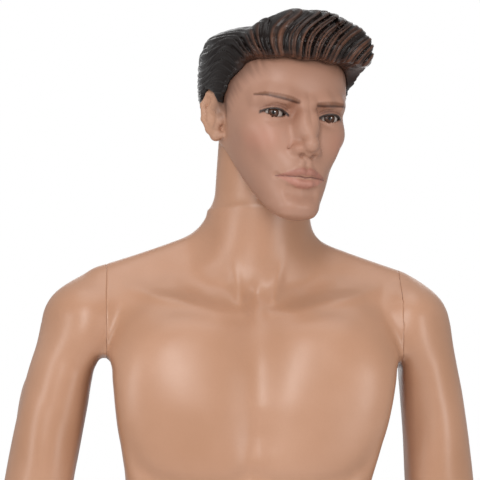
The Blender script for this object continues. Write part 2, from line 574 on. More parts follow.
def f_foot_full(q):
    d = _cap(q, (0, 4, 100), (0, 6, 60), 30, 33)
    d = _smin(d, _ell(q, (0, 26, 28), (30, 38, 34)), 20.0)
    d = _smin(d, _cap(q, (0, -4, 66), (8, -86, 32), 29, 19), 22.0)
    d = _smin(d, _ell(q, (0, -60, 20), (36, 72, 24)), 18.0)
    d = _smin(d, _cap(q, (26, -118, 19), (-30, -98, 14), 17, 13), 16.0)
    d = _sub(d, _ell(q, (36, -42, 4), (14, 40, 13)), 14.0)                              # arch
    toes = [((27, -128, 16), (31, -151, 15), (31, -168, 11), 13.5, 12.5, 10.5), ((9, -130, 16), (11, -151, 16), (12, -170, 9), 9.6, 9.0, 8.0), ((-7, -126, 15), (-7, -145, 15), (-7, -162, 8.5), 9.2, 8.6, 7.6),
            ((-21, -118, 14), (-23, -136, 13), (-24, -150, 8), 8.8, 8.2, 7.2), ((-34, -106, 12), (-37, -122, 11), (-39, -135, 7.5), 8.6, 8.0, 7.0)]
    for a, b, c, ra, rb, rc in toes:
        d = _smin(d, _chain(q, [a, b, c], [ra, rb, rc], 2.0), 3.5)
    # nails
    for (x, y, z), w in (((31.5, -172, 18.5), 7.0), ((12, -171, 15.0), 4.6), ((-7, -163, 14.2), 4.3), ((-24.5, -151, 13.2), 4.0), ((-39.5, -136, 12.4), 3.6)):
        e = _ell(q, (x, y, z), (w, w * 1.1, 2.4), _rot(-38, 0, 0))
        d = _smin(d, e, 1.2)
    return _smax(d, 0.0 - q[..., 2], 2.0)


def f_lower_full(p):
    z = p[..., 2]
    legs = [_smin(f_leg_full(p, s), f_foot_full(foot_to_local(p, s)), 14.0) for s in (-1, 1)]
    d = _smin(f_trunk_core(p), _smin(legs[0], legs[1], 16.0), 26.0)
    sx = p[..., 0] - spine_x(z)
    m = np.stack([np.abs(sx), p[..., 1], z], -1)
    d = _smin(d, _ell(m, (72, 60, 932), (68, 54, 76)), 26.0)
    bk = _sstep(20.0, 60.0, p[..., 1])
    d = d + bk * 9.0 * np.exp(-(sx / 11.0) ** 2) * _sstep(860.0, 900.0, z) * _sstep(1030.0, 985.0, z)
    # groin lines, hip bones and a smooth plain front
    fr = _sstep(10.0, -35.0, p[..., 1])
    d = _smin(d, _ell(p, (-18, -52, 902), (30, 38, 44)), 26.0)
    g = _line(m[..., 0], z, [(118, 1056), (84, 1006), (48, 950), (30, 915)], 13.0, [0.6, 3.4, 3.2, 1.0])
    g = g - 3.0 * np.exp(-((m[..., 0] - 112.0) / 24.0) ** 2 - ((z - 1066.0) / 26.0) ** 2)
    d = d + g * fr
    d = _sub(d, _ell(p, (-19.5, -94, 1116), (5.0, 8, 6.5)), 5.0)                        # navel
    # belly and the small of the back run on from the trunk
    return waist_forms(d, p[..., 0] - spine_x(z), p[..., 1], z)


EYE = np.array((33.0, -73.0, 5.0))
EYE_R = 12.0


def _lens2(q, grow=0.0):
    """Almond of the eye opening seen from the front, less than 0 inside (right-hand side, mirrored)."""
    x = np.abs(q[..., 0]) - EYE[0]
    z = q[..., 2] - EYE[2]
    a = math.radians(4.0)
    u = x * math.cos(a) + z * math.sin(a)
    v = -x * math.sin(a) + z * math.cos(a)
    r1, r2 = 24.0, 32.0
    up = np.sqrt(u * u + (v + r1 - 3.4) ** 2) - r1
    lo = np.sqrt(u * u + (v - r2 + 3.6) ** 2) - r2
    return np.maximum(up, lo) - grow, up, lo


def f_ear(q):
    m = _mir(q)
    c, s = 0.894, 0.448                      # the ear leans out from the head by about 27 degrees
    u = m[..., 0] - 79.0
    v = m[..., 1] - 20.5
    w, t = u * c - v * s, (u * s + v * c) / 1.24
    m = np.stack([w * c + t * s + 79.0, t * c - w * s + 20.5, m[..., 2]], -1)
    m = m - np.array((-13.0, 0.5, -1.0))
    m = (m - np.array((86.0, 8.0, 2.0))) / 0.84 + np.array((86.0, 8.0, 2.0))
    e = _ell(m, (79.5, 9, 3), (8.0, 15.0, 27), _rot(-10, 4, 24))
    e = _smin(e, _chain(m, [(76, -5, 2), (79, -6, 15), (83.0, 2, 29), (87.5, 15, 29), (89.5, 23, 15), (88.0, 21.5, -4), (84, 13, -18), (80, 4, -26), (76, -3, -24)], [3.2, 3.2, 3.4, 3.8, 3.8, 3.6, 4.6, 6.0, 3.8], 3.0), 5.0)
    e = _sub(e, _ell(m, (91.5, 4, -3), (8.5, 8.0, 12.5), _rot(0, 0, 16)), 3.5)
    e = _sub(e, _ell(m, (93, 11, 18), (6.0, 7.0, 8.5), _rot(0, 0, 22)), 3.5)
    e = _smin(e, _chain(m, [(86, 8, 20), (87.5, 13.5, 8), (86.0, 14, -4), (82.5, 8.5, -14)], [2.0, 2.4, 2.4, 2.8], 2.0), 3.5)
    e = _smin(e, _ell(m, (80.5, -5, -4), (4.5, 4.5, 7.0)), 3.5)
    e = _smin(e, _chain(m, [(80, -2, 9), (84, 6, 5)], [2.0, 1.8], 2.0), 3.0)
    return e * 0.84


HEAD_TAB = [(-110, 6, 5, 6, -81, 2.0), (-106.5, 18, 13, 16, -81, 2.0), (-99.5, 27, 22, 27, -77, 2.05), (-88, 33.5, 34, 40, -66, 2.1), (-70, 42.5, 47, 56, -52, 2.15), (-46, 52, 63, 72, -34, 2.2),
            (-20, 63, 77, 78, -14, 2.3), (8, 70, 90, 86, 2, 2.5), (36, 73.5, 98, 92, 6, 2.4), (60, 73, 93, 90, 6, 2.2), (80, 66, 79, 80, 6, 2.1), (96, 50, 58, 60, 6, 2.05), (105, 30, 35, 36, 6, 2.0), (109, 12, 14, 14, 6, 2.0)]


def f_face(q, lids=True):
    m = _mir(q)
    z = q[..., 2]
    w, bf, bb, cy, n = _spl(z, HEAD_TAB)
    d = _stack(q, z, 0.0, cy, w, bf, bb, n) * 0.9
    d = _smax(np.maximum(d, z - 108.5), -109.6 - z, 6.0)
    d = d + 5.5 * np.exp(-((q[..., 1] + 9.0) / 15.0) ** 2 - ((z - 2.0) / 26.0) ** 2) * _sstep(40.0, 60.0, m[..., 0])
    # soft chin, jaw corner, cheek bone, brow
    d = _smin(d, _ell(m, (3, -90, -94), (16, 11.5, 12.0)), 12.0)
    d = _smin(d, _ell(m, (38, -60, -12), (18, 20, 13), _rot(0, 6, -28)), 22.0)
    d = _smin(d, _chain(m, [(8, -88.0, 16.5), (24, -87.5, 19.0), (39, -79.5, 21.2), (48, -68, 20)], [6.3, 6.2, 5.6, 4.0], 8.0), 14.0)
    # sockets
    d = _sub(d, _ell(m, (32.5, -98, 3), (17.5, 14.0, 10.5), _rot(0, 4, -12)), 9.0)
    d = _sub(d, _ell(m, (14.5, -97, 5), (6.5, 9, 11)), 8.0)
    # muzzle, cheeks beside the nose
    d = _smin(d, _ell(m, (0, -84, -52), (27, 17.5, 19)), 14.0)
    d = _smin(d, _ell(m, (26, -76, -28), (17, 13, 18)), 16.0)
    # nose
    d = _smin(d, _chain(m, [(0, -88.6, 16), (0, -95.6, 2), (0, -103.6, -13), (0, -111.0, -25)], [6.4, 5.8, 6.4, 7.0], 8.0), 9.0)
    d = _smin(d, _ell(m, (6.0, -92, -13), (8.0, 12.5, 22), _rot(22, 0, 0)), 8.0)
    d = _smin(d, _ell(m, (0, -111.5, -28), (7.6, 7.8, 7.0)), 7.0)
    d = _smin(d, _ell(m, (11.0, -100, -32.5), (5.8, 9.4, 6.2), _rot(0, 0, -14)), 6.5)
    d = _smin(d, _cap(m, (0, -104, -35), (0, -98, -38.5), 5.2, 5.4), 5.0)
    d = _sub(d, _chain(m, [(10.8, -109.5, -25.5), (16.8, -99.4, -25), (18.8, -93.6, -33)], [0.1, 0.2, 0.2], 3.0), 4.5)
    d = _sub(d, _ell(m, (6.4, -104.5, -39.6), (2.4, 4.0, 1.7), _rot(0, 0, 20)), 3.0)
    m = m + np.array((0.0, 0.0, 2.6))
    # philtrum
    d = _sub(d, _cap(m, (0, -106.8, -43), (0, -107.4, -51), 1.8, 2.6), 3.0)
    d = _smin(d, _cap(m, (4.2, -101.2, -43), (5.2, -102.6, -51), 1.7, 1.9), 3.5)
    # lips
    d = _smin(d, _chain(m, [(27.0, -87.0, -60.2), (17, -95.8, -57.2), (8, -101.2, -54.6), (4.2, -102.4, -53.8), (0, -101.8, -55.0)], [1.8, 3.4, 4.3, 4.5, 4.3], 3.0), 2.4)
    d = _smin(d, _chain(m, [(26.0, -87.0, -61.6), (15, -95.0, -65.0), (6, -98.8, -67.6), (0, -99.4, -68.0)], [1.8, 4.4, 5.9, 6.2], 3.0), 2.8)
    d = _sub(d, _chain(m, [(28.5, -91.5, -60.6), (16, -101.0, -60.2), (6.5, -106.6, -59.4), (0, -106.6, -60.4)], [1.0, 1.0, 1.0, 1.0], 2.0), 1.8)
    d = _sub(d, _ell(m, (31.0, -91.5, -60.6), (3.0, 3.4, 2.8)), 3.5)
    d = _sub(d, _cap(m, (0, -106, -79.0), (14, -102.5, -77.5), 6.5, 5.5), 9.0)
    m = m - np.array((0.0, 0.0, 2.6))
    if lids:
        lid = _smax(_len(m - EYE) - (EYE_R + 1.8), np.abs(m[..., 2] - EYE[2]) - 11.0, 4.0)
        d = _smin(d, lid, 4.5)
        d = _sub(d, _chain(m, [(19.5, -86, EYE[2] + 5), (25.5, -89.2, EYE[2] + 8.0), (35.5, -89.6, EYE[2] + 8.6), (46.5, -81, EYE[2] + 5.3)], [0.6, 1.1, 1.1, 0.6], 2.0), 2.4)
        _, up, lo = _lens2(m)
        open_ = np.maximum(np.maximum(up, lo), m[..., 1] + 66.0)
        d = _smax(d, -open_, 0.9)
        d = _smin(d, _ell(m, (19.1, -83.0, EYE[2] - 1.8), (2.0, 2.4, 1.8)), 1.6)
        d = _sub(d, _len(m - EYE) - (EYE_R + 0.25), 0.3)
    return d


def f_head_full(q):
    d = f_face(q)
    return _smin(d, f_ear(q), 4.0)


# hairline, seen from the side (y, z)
HAIRLINE = np.array([(-140, 66), (-88, 66), (-76, 65.5), (-66, 63), (-56, 56), (-46, 46), (-36, 35), (-28, 26), (-22, 19.5), (-17.5, 14), (-12, 14), (-9.5, 18), (-5, 24), (4, 27), (16, 29), (25, 24), (29, 14), (31, 2), (36, -7), (50, -14), (70, -20), (130, -24), (130, 170), (-140, 170)], float)


def _poly(y, z, pts):
    d = np.full(y.shape, 1e9)
    inside = np.zeros(y.shape, bool)
    n = len(pts)
    for i in range(n):
        ax, ay = pts[i]
        bx, by = pts[(i + 1) % n]
        ex, ey = bx - ax, by - ay
        wx, wy = y - ax, z - ay
        t = np.clip((wx * ex + wy * ey) / (ex * ex + ey * ey), 0, 1)
        dx, dy = wx - t * ex, wy - t * ey
        d = np.minimum(d, dx * dx + dy * dy)
        c = (ay > z) != (by > z)
        xs = ax + (z - ay) / (by - ay if by != ay else 1e-9) * ex
        inside ^= c & (y < xs)
    d = np.sqrt(d)
    return np.where(inside, -d, d)


def f_hairline(q):
    x = q[..., 0]
    fr = q[..., 1] < -40
    z = q[..., 2] - 1.2 * np.sin(x / 5.5) * fr
    y = q[..., 1] + 1.6 * np.sin(z / 3.4) * (q[..., 1] > -70) * (z > 0) * (q[..., 1] < -14)
    return _poly(y, z, HAIRLINE)


def hair_coords(q):
    """Across-strand and along-strand coordinates, in mm."""
    x, y, z = q[..., 0], q[..., 1], q[..., 2]
    front = _sstep(-10.0, -100.0, y)
    zc = 22.0 - 40.0 * front
    phi = np.arctan2(x, z - zc)
    s = phi * (88.0 + 34.0 * front)
    lift = np.clip(z - 64.0, 0.0, 66.0)
    s = s - front * (0.0 * lift + 0.0115 * lift * lift) + front * 4.0 * np.sin(lift / 15.0)
    s = s + (5.0 * np.sin(y / 30.0 + 0.8 * np.sin(s / 31.0)) + 3.0 * np.sin(y / 13.0 + s / 17.0)) * (1.0 - 0.6 * front)
    return s, y, front


def hair_waves(q):
    s, y, front = hair_coords(q)
    w1 = np.abs(np.sin(np.pi * (s / 14.5 + 0.12 * np.sin(y / 22.0) + 0.42 * np.sin(s / 16.0 + 0.8) + 0.16 * np.sin(s / 7.3 + y / 37.0))))
    w2 = np.abs(np.sin(np.pi * (s / 6.4 + 0.3 * np.sin(y / 19.0 + s / 40.0) + 0.45 * np.sin(s / 11.0))))
    w3 = np.abs(np.sin(np.pi * (s / 3.7 + 0.35 * np.sin(y / 11.0))))
    return w1, w2, w3, front


HAIR_TAB = [(-60, 50, 50, 44, 22, 2.1), (-24, 58, 62, 56, 20, 2.1), (0, 70, 80, 80, 12, 2.2), (24, 78, 92, 93, 8, 2.2), (50, 80, 99, 97, 6, 2.25), (74, 78.5, 102, 95, 2, 2.3), (88, 73, 97, 87, -2, 2.3),
            (96, 61, 84, 72, -6, 2.2), (102, 44, 64, 52, -10, 2.1), (105.5, 18, 28, 24, -12, 2.0)]


def f_hair_form(q):
    z = q[..., 2]
    w, bf, bb, cy, n = _spl(z, HAIR_TAB)
    d = _stack(q, z, 0.0, cy, w, bf, bb, n) * 0.9
    d = np.maximum(d, z - 105.5)
    d = _smin(d, _chain(q, [(-40, -62, 87), (-14, -72, 91.0), (16, -77, 91.5), (44, -76, 87.5)], [20, 26.5, 27, 26], 12.0), 12.0)
    d = _smin(d, _ell(q, (55, -83, 82), (20, 22, 22)), 10.0)
    d = _smin(d, _ell(q, (63, -66, 56), (16, 24, 30)), 12.0)
    d = _smin(d, _ell(q, (6, -52, 102), (46, 36, 13)), 12.0)
    return _sub(d, _chain(q, [(17, -50, 119), (21, -84, 117), (25, -104, 103), (27, -112, 84)], [1.5, 3.6, 2.6, 1.0], 4.0), 6.0)


def f_hair(q, fine=True):
    w1, w2, w3, front = hair_waves(q)
    d = f_hair_form(q)
    top = _sstep(20.0, 90.0, q[..., 2])
    s = hair_coords(q)[0]
    amp = (0.8 + 1.7 * front * top + 1.1 * top) * (0.85 + 0.35 * np.sin(s / 12.0 + 2.0))
    d = d - amp * (np.sqrt(w1 + 0.02) - 0.65) - (0.8 + 1.2 * top) * (1.0 - 0.6 * front * _sstep(28.0, 52.0, q[..., 0])) * (w2 - 0.6) - 0.5 * (w3 - 0.6)
    h = f_hairline(q)
    d = _smax(d, h, 5.0)
    inner = f_face(q, lids=False) - 0.25
    return _smax(d, -inner, 0.8)


def hand_full(q):
    palm = _ell(q, (-1, 0, -52), (14.5, 38, 54))
    palm = _smin(palm, _cap(q, (0, 0, 12), (0, 0, -22), 23.5, 22), 16.0)
    palm = _smin(palm, _chain(q, [(-2, -30, -84), (-3, -10, -90), (-2, 11, -87), (-1, 29, -78)], [10, 10.5, 10, 9], 6.0), 12.0)
    palm = _smin(palm, _ell(q, (8, -22, -38), (13, 17, 28), _rot(14, 0, 0)), 10.0)
    palm = _smin(palm, _ell(q, (8, 22, -44), (10, 13, 30)), 10.0)
    palm = _sub(palm, _ell(q, (22, 2, -60), (10, 14, 24)), 10.0)
    d = palm
    fingers = [
        ((-1, -31, -86), (2, -34, -128), (9, -34.5, -151), (18, -33.5, -168), (9.6, 8.8, 8.0, 6.8)),
        ((-2, -10.5, -92), (2, -11.5, -138), (11, -11.5, -164), (22, -11.5, -181), (9.8, 9.0, 8.2, 7.0)),
        ((-1, 10.5, -89), (4, 11.5, -132), (14, 11.5, -157), (25, 11.5, -173), (9.4, 8.6, 7.8, 6.7)),
        ((0, 29, -80), (6, 32.5, -112), (15, 33, -131), (24, 32.5, -144), (8.4, 7.6, 7.0, 6.0)),
    ]
    for a, b, c, e, r in fingers:
        f = _chain(q, [a, b, c, e], r, 2.0)
        for k in (b, c):
            f = _smin(f, _ell(q, (k[0] - 2.4, k[1], k[2]), (6.4, 7.2, 6.8)), 3.0)
        f = _smin(f, _ell(q, (e[0] - 5.2, e[1], e[2] + 1.0), (2.2, 5.0, 6.2), _rot(0, -24, 0)), 1.2)
        d = _smin(d, f, 4.0)
    th = _chain(q, [(5, -24, -28), (12, -42, -60), (16, -51, -90), (18, -54, -112)], [13, 12, 10.2, 8.2], 4.0)
    th = _smin(th, _ell(q, (10.4, -56.5, -112), (2.6, 5.6, 7.4), _rot(0, -10, 10)), 1.4)
    d = _smin(d, th, 7.0)
    for y0 in (-31, -10.5, 10.5, 28):
        d = _smin(d, _ell(q, (-9.4, y0, -86 + abs(y0) * 0.12), (4.0, 6.0, 8.0)), 5.0)
    return d


# ---- mesh building ----
def split_quads(v, q):
    """Each quad becomes four; new points sit at edge and face middles."""
    e = np.stack([q, np.roll(q, -1, 1)], -1).reshape(-1, 2)
    es = np.sort(e, 1)
    key = es[:, 0].astype(np.int64) * len(v) + es[:, 1]
    uk, inv = np.unique(key, return_inverse=True)
    a, b = uk // len(v), uk % len(v)
    mid = (v[a] + v[b]) / 2
    cen = v[q].mean(1)
    n0, n1 = len(v), len(v) + len(mid)
    inv = inv.reshape(-1, 4) + n0
    c = np.arange(len(q)) + n1
    out = [np.stack([q[:, k], inv[:, k], c, inv[:, k - 1]], 1) for k in range(4)]
    return np.concatenate([v, mid, cen]), np.concatenate(out)


def relax(v, q, n=1, w=0.5):
    """Even out the net along the surface before it is put back on the form."""
    for _ in range(n):
        acc = np.zeros_like(v)
        cnt = np.zeros(len(v))
        for k in range(4):
            a, b = q[:, k], q[:, (k + 1) % 4]
            np.add.at(acc, a, v[b])
            np.add.at(acc, b, v[a])
            np.add.at(cnt, a, 1)
            np.add.at(cnt, b, 1)
        v = v + w * (acc / np.maximum(cnt, 1)[:, None] - v)
    return v


def batch(f, n=60000):
    def g(p):
        if p.ndim != 2 or len(p) <= n:
            return f(p)
        return np.concatenate([f(p[i:i + n]) for i in range(0, len(p), n)])
    return g


def skin(f, lo, hi, h, sub=1, relaxed=2):
    """Closed net of f in a box, evened, projected and split."""
    f = batch(f)
    v, q = mesh_sdf(f, lo, hi, h)
    v = relax(v, q, relaxed)
    v = project(f, v, 3)
    for _ in range(sub):
        v, q = split_quads(v, q)
        v = project(f, v, 2, cap=0.8)
    return v, q


def to_mesh(name, v, q):
    me = bpy.data.meshes.new(name)
    me.vertices.add(len(v))
    me.vertices.foreach_set("co", (v / 1000.0).astype(np.float32).ravel())
    me.loops.add(q.size)
    me.loops.foreach_set("vertex_index", q.astype(np.int32).ravel())
    me.polygons.add(len(q))
    me.polygons.foreach_set("loop_start", np.arange(0, q.size, 4, dtype=np.int32))
    me.update(calc_edges=True)
    me.validate()
    return me


def keep_largest(bm):
    """Drop stray islands."""
    seen = set()
    groups = []
    for v0 in bm.verts:
        if v0 in seen:
            continue
        st, g = [v0], []
        seen.add(v0)
        while st:
            a = st.pop()
            g.append(a)
            for e in a.link_edges:
                b = e.other_vert(a)
                if b not in seen:
                    seen.add(b)
                    st.append(b)
        groups.append(g)
    groups.sort(key=len)
    for g in groups[:-1]:
        bmesh.ops.delete(bm, geom=g, context="VERTS")


def slice_off(bm, co, no, lip=1.1, drop=0.55):
    """Cut a closed mesh with a plane, drop the side its normal points to, ease the edge inward and cap it flat."""
    co, no = Vector(co) / 1000.0, Vector(no).normalized()
    bmesh.ops.bisect_plane(bm, geom=bm.verts[:] + bm.edges[:] + bm.faces[:], dist=1e-7, plane_co=co - no * lip / 1000.0, plane_no=no)
    bmesh.ops.bisect_plane(bm, geom=bm.verts[:] + bm.edges[:] + bm.faces[:], dist=1e-7, plane_co=co, plane_no=no, clear_outer=True)
    rim = [e for e in bm.edges if e.is_boundary]
    bm.normal_update()
    for v in {v for e in rim for v in e.verts}:
        n = v.normal - no * v.normal.dot(no)
        if n.length > 1e-6:
            v.co -= n.normalized() * drop / 1000.0
    r = bmesh.ops.triangle_fill(bm, use_beauty=True, use_dissolve=False, edges=rim, normal=no)
    for f in r["geom"]:
        if isinstance(f, bmesh.types.BMFace):
            f.smooth = False
            if f.normal.dot(no) < 0:
                f.normal_flip()


def make_piece(name, v, q, body, mat, replaces=(), cuts=(), paint=None, sharp=38.0):
    me = to_mesh(name, v, q)
    bm = bmesh.new()
    bm.from_mesh(me)
    for f in bm.faces:
        f.smooth = True
    if paint is not None:
        lay = bm.verts.layers.float_color.new("paint")
        cols = paint(np.array([w.co[:] for w in bm.verts]) * 1000.0)
        for w, c in zip(bm.verts, cols):
            w[lay] = c
    keep_largest(bm)
    for c in cuts:
        slice_off(bm, *c)
    keep_largest(bm)
    bmesh.ops.recalc_face_normals(bm, faces=bm.faces)
    bm.to_mesh(me)
    bm.free()
    me.set_sharp_from_angle(angle=math.radians(sharp))
    ob = bpy.data.objects.new(name, me)
    bpy.context.scene.collection.objects.link(ob)
    me.materials.append(mat)
    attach(ob, body)
    if replaces:
        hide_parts(*replaces)
    return ob


# ---- materials ----
def srgb(r, g, b):
    def f(c):
        c = c / 255.0
        return c / 12.92 if c <= 0.04045 else ((c + 0.055) / 1.055) ** 2.4
    return (f(r), f(g), f(b), 1.0)


class Nodes:
    def __init__(self, name):
        self.m = bpy.data.materials.new(name)
        self.m.use_nodes = True
        self.t = self.m.node_tree
        self.b = self.t.nodes["Principled BSDF"]

    def add(self, kind, **kw):
        n = self.t.nodes.new(kind)
        for k, v in kw.items():
            if k in n.inputs:
                n.inputs[k].default_value = v
            else:
                setattr(n, k, v)
        return n

    def link(self, a, b):
        self.t.links.new(a, b)

    def coord(self):
        return self.add("ShaderNodeTexCoord").outputs["Object"]

    def noise(self, scale, detail=4.0, rough=0.5, stretch=None, dist=0.0):
        n = self.add("ShaderNodeTexNoise")
        n.inputs["Scale"].default_value = scale
        n.inputs["Detail"].default_value = detail
        n.inputs["Roughness"].default_value = rough
        n.inputs["Distortion"].default_value = dist
        if stretch:
            mp = self.add("ShaderNodeMapping")
            mp.inputs["Scale"].default_value = stretch
            self.link(self.coord(), mp.inputs["Vector"])
            self.link(mp.outputs[0], n.inputs["Vector"])
        else:
            self.link(self.coord(), n.inputs["Vector"])
        return n.outputs["Fac"]

    def ramp(self, fac, stops):
        r = self.add("ShaderNodeValToRGB")
        el = r.color_ramp.elements
        while len(el) < len(stops):
            el.new(0.5)
        for e, (p, c) in zip(el, stops):
            e.position = p
            e.color = c
        self.link(fac, r.inputs["Fac"])
        return r.outputs["Color"]

    def mix(self, fac, a, b, mode="MIX"):
        n = self.add("ShaderNodeMix", data_type="RGBA", blend_type=mode)
        for sock, v in ((n.inputs[0], fac), (n.inputs[6], a), (n.inputs[7], b)):
            if isinstance(v, (tuple, list, float, int)):
                sock.default_value = v
            else:
                self.link(v, sock)
        return n.outputs[2]

    def maprange(self, v, a, b, c, d):
        n = self.add("ShaderNodeMapRange")
        n.inputs["From Min"].default_value = a
        n.inputs["From Max"].default_value = b
        n.inputs["To Min"].default_value = c
        n.inputs["To Max"].default_value = d
        self.link(v, n.inputs["Value"])
        return n.outputs[0]

    def bump(self, h, strength, dist, prev=None):
        n = self.add("ShaderNodeBump")
        n.inputs["Strength"].default_value = strength
        n.inputs["Distance"].default_value = dist
        self.link(h, n.inputs["Height"])
        if prev is not None:
            self.link(prev, n.inputs["Normal"])
        return n.outputs["Normal"]

    def set(self, **kw):
        for k, v in kw.items():
            s = self.b.inputs[k.replace("_", " ")]
            if isinstance(v, (tuple, float, int)):
                s.default_value = v
            else:
                self.link(v, s)


SKIN_A, SKIN_B, SKIN_C = srgb(176, 132, 105), srgb(171, 127, 99), srgb(181, 138, 112)


def skin_material(name, painted=False):
    n = Nodes(name)
    base = n.ramp(n.noise(9.0, 3.0, 0.5), [(0.32, SKIN_B), (0.5, SKIN_A), (0.7, SKIN_C)])
    # fine spray mottling over the slow variation
    fine = n.noise(420.0, 2.0, 0.6)
    base = n.mix(n.maprange(fine, 0.35, 0.75, 0.0, 0.10), base, srgb(160, 112, 86))
    rough = n.maprange(n.noise(26.0, 5.0, 0.6), 0.3, 0.7, 0.33, 0.40)
    if painted:
        at = n.add("ShaderNodeAttribute", attribute_name="paint", attribute_type="GEOMETRY")
        base = n.mix(at.outputs["Alpha"], base, at.outputs["Color"])
        face = n.maprange(n.noise(26.0, 5.0, 0.6), 0.3, 0.7, 0.42, 0.50)
        rough = face
    b1 = n.bump(n.noise(14.0, 2.0, 0.5), 0.10, 0.002)
    b2 = n.bump(n.noise(700.0, 2.0, 0.5), 0.05, 0.0002, b1)
    n.set(Base_Color=base, Roughness=rough, Normal=b2, Coat_Weight=0.0 if painted else 0.06, Coat_Roughness=0.28, Specular_IOR_Level=0.45)
    return n.m


def hair_material():
    n = Nodes("hair_paint")
    at = n.add("ShaderNodeAttribute", attribute_name="paint", attribute_type="GEOMETRY")
    streak = n.noise(160.0, 4.0, 0.6, stretch=(1.0, 0.18, 1.0))
    base = n.mix(n.maprange(streak, 0.42, 0.7, 0.0, 0.45), at.outputs["Color"], srgb(24, 17, 15))
    b = n.bump(n.noise(380.0, 3.0, 0.6, stretch=(1.0, 0.12, 1.0)), 0.22, 0.0006)
    n.set(Base_Color=base, Roughness=n.maprange(n.noise(60.0), 0.3, 0.7, 0.24, 0.36), Normal=b, Coat_Weight=0.05, Coat_Roughness=0.10, Specular_IOR_Level=0.20)
    return n.m


def eye_material():
    n = Nodes("eye_paint")
    at = n.add("ShaderNodeAttribute", attribute_name="paint", attribute_type="GEOMETRY")
    vein = n.noise(900.0, 3.0, 0.6)
    base = n.mix(n.maprange(vein, 0.55, 0.8, 0.0, 0.10), at.outputs["Color"], srgb(190, 150, 130))
    n.set(Base_Color=base, Roughness=n.maprange(n.noise(300.0), 0.3, 0.7, 0.26, 0.34), Coat_Weight=0.04, Coat_Roughness=0.10, Specular_IOR_Level=0.25)
    return n.m


def metal_material(name, col, rough, stretch, chrome=False):
    n = Nodes(name)
    fine = n.noise(240.0, 4.0, 0.65, stretch=stretch)
    blot = n.noise(18.0, 3.0, 0.5)
    base = n.mix(n.maprange(fine, 0.35, 0.7, 0.0, 0.35), col, tuple(c * 0.72 for c in col[:3]) + (1.0,))
    base = n.mix(n.maprange(blot, 0.45, 0.8, 0.0, 0.12), base, srgb(120, 112, 104))
    b = n.bump(fine, 0.03 if chrome else 0.10, 0.0003)
    n.set(Base_Color=base, Metallic=1.0, Roughness=n.maprange(fine, 0.3, 0.7, rough - 0.05, rough + 0.07), Normal=b)
    return n.m


def plastic_material(name, a, b_, rough):
    n = Nodes(name)
    base = n.ramp(n.noise(55.0, 5.0, 0.6), [(0.35, a), (0.65, b_)])
    b = n.bump(n.noise(900.0, 3.0, 0.6), 0.18, 0.0002)
    n.set(Base_Color=base, Roughness=n.maprange(n.noise(90.0), 0.3, 0.7, rough - 0.05, rough + 0.08), Normal=b)
    return n.m


MAT_SKIN = skin_material("skin_spray")
MAT_FACE = skin_material("face_spray", painted=True)
MAT_HAIR = hair_material()
MAT_EYE = eye_material()
MAT = {
    "plate": metal_material("plate_steel", srgb(190, 190, 192), 0.30, (1.0, 14.0, 14.0)),
    "steel": metal_material("zinc_steel", srgb(178, 180, 186), 0.34, (4.0, 4.0, 4.0)),
    "rod": metal_material("rod_chrome", srgb(214, 214, 218), 0.14, (10.0, 10.0, 1.0), chrome=True),
    "nylon": plastic_material("natural_nylon", srgb(224, 221, 208), srgb(214, 209, 192), 0.45),
    "black": plastic_material("black_moulding", srgb(24, 24, 26), srgb(34, 33, 34), 0.42),
    "mat": plastic_material("rubber_sheet", srgb(30, 30, 30), srgb(44, 43, 42), 0.72),
    "skin": MAT_SKIN, "hair": MAT_HAIR,
}
SLOT_OF = {s["node"]: s["material_slot"] for s in frame["record"]["subparts"]}
for node, ob in frame["nodes"].items():
    ob.data.materials.clear()
    ob.data.materials.append(MAT[SLOT_OF[node]])


# ---- paint on the head ----
def line2(px, pz, pts, wid):
    """Distance to a tapered stroke in the plane, less than 0 inside."""
    d = np.full(px.shape, 1e9)
    for i in range(len(pts) - 1):
        ax, az = pts[i]
        bx, bz = pts[i + 1]
        ex, ez = bx - ax, bz - az
        t = np.clip(((px - ax) * ex + (pz - az) * ez) / (ex * ex + ez * ez), 0, 1)
        dd = np.hypot(px - ax - t * ex, pz - az - t * ez) - (wid[i] + (wid[i + 1] - wid[i]) * t)
        d = np.minimum(d, dd)
    return d


def rgb(r, g, b):
    return np.array(srgb(r, g, b)[:3])


def over(col, alpha, paint, a):
    """Lay paint with opacity a over what is there."""
    a = np.clip(a, 0, 1)
    na = a + alpha * (1 - a)
    w = np.where(na > 1e-6, a / np.maximum(na, 1e-6), 0.0)[:, None]
    return col * (1 - w) + paint * w, na


